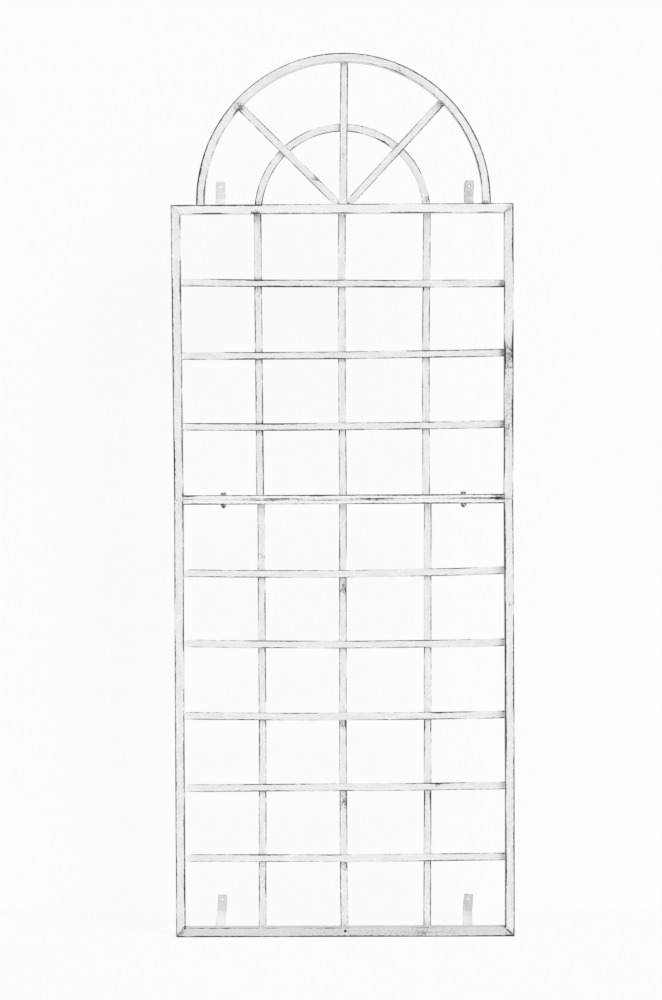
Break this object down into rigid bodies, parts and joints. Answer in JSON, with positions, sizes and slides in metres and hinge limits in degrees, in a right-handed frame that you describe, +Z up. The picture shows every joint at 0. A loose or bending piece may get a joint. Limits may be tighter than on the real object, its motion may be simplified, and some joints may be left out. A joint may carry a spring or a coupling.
{
  "type": "espalier frame",
  "caption": "Tall flat trellis of welded tube and flat bar with an arched fanlight top, in bolted upper and lower sections, with strap brackets that hold it off a wall for trained plants.",
  "frame": {"origin": "middle of the bottom rail's underside, in the middle of the frame tube's depth", "axes": "+X to the right seen from the front, +Y to the back, towards the wall, +Z up"},
  "size_m": [0.74, 0.065, 1.9199],
  "materials": {
    "white_paint": "white paint rubbed back to dark metal along the edges",
    "dark_steel": "dull zinc, dark with age"
  },
  "bodies": {
    "lower_panel": {"lower_left_stile": "white_paint", "lower_right_stile": "white_paint", "bottom_rail": "white_paint", "lower_joint_rail": "white_paint", "lower_left_bar": "white_paint", "lower_centre_bar": "white_paint", "lower_right_bar": "white_paint", "lower_cross_bar_1": "white_paint", "lower_cross_bar_2": "white_paint", "lower_cross_bar_3": "white_paint", "lower_cross_bar_4": "white_paint", "lower_cross_bar_5": "white_paint", "bottom_left_bracket": "white_paint", "bottom_right_bracket": "white_paint"},
    "upper_panel": {"upper_left_stile": "white_paint", "upper_right_stile": "white_paint", "top_rail": "white_paint", "upper_joint_rail": "white_paint", "upper_left_bar": "white_paint", "upper_centre_bar": "white_paint", "upper_right_bar": "white_paint", "upper_cross_bar_1": "white_paint", "upper_cross_bar_2": "white_paint", "upper_cross_bar_3": "white_paint", "outer_arch": "white_paint", "inner_arch": "white_paint", "left_spoke": "white_paint", "centre_spoke": "white_paint", "right_spoke": "white_paint", "top_left_bracket": "white_paint", "top_right_bracket": "white_paint"},
    "left_bolt": {"left_bolt": "dark_steel", "left_bolt_washer": "dark_steel"},
    "left_nut_washer": {"left_nut_washer": "dark_steel"},
    "left_nut": {"left_nut": "dark_steel"},
    "right_bolt": {"right_bolt": "dark_steel", "right_bolt_washer": "dark_steel"},
    "right_nut_washer": {"right_nut_washer": "dark_steel"},
    "right_nut": {"right_nut": "dark_steel"}
  },
  "joints": [
    {"name": "upper_panel_lift", "type": "slide", "parent": "lower_panel", "child": "upper_panel", "axis": [0, 0, 1], "range_m": [0, 0.06]},
    {"name": "left_bolt_draw", "type": "slide", "parent": "upper_panel", "child": "left_bolt", "axis": [0, 0, 1], "range_m": [0, 0.035]},
    {"name": "left_nut_drop", "type": "slide", "parent": "lower_panel", "child": "left_nut_washer", "axis": [0, 0, -1], "range_m": [0, 0.008]},
    {"name": "left_nut_turn", "type": "hinge", "parent": "left_nut_washer", "child": "left_nut", "pos_m": [-0.261, 0, 0.948], "axis": [0, 0, -1], "range_deg": [0, 2880]},
    {"name": "right_bolt_draw", "type": "slide", "parent": "upper_panel", "child": "right_bolt", "axis": [0, 0, 1], "range_m": [0, 0.035]},
    {"name": "right_nut_drop", "type": "slide", "parent": "lower_panel", "child": "right_nut_washer", "axis": [0, 0, -1], "range_m": [0, 0.008]},
    {"name": "right_nut_turn", "type": "hinge", "parent": "right_nut_washer", "child": "right_nut", "pos_m": [0.261, 0, 0.948], "axis": [0, 0, -1], "range_deg": [0, 2880]}
  ],
  "couplings": [
    {"joint": "left_nut_turn", "follows": "left_nut_drop", "rad_per_m": 6283.2},
    {"joint": "right_nut_turn", "follows": "right_nut_drop", "rad_per_m": 6283.2}
  ]
}
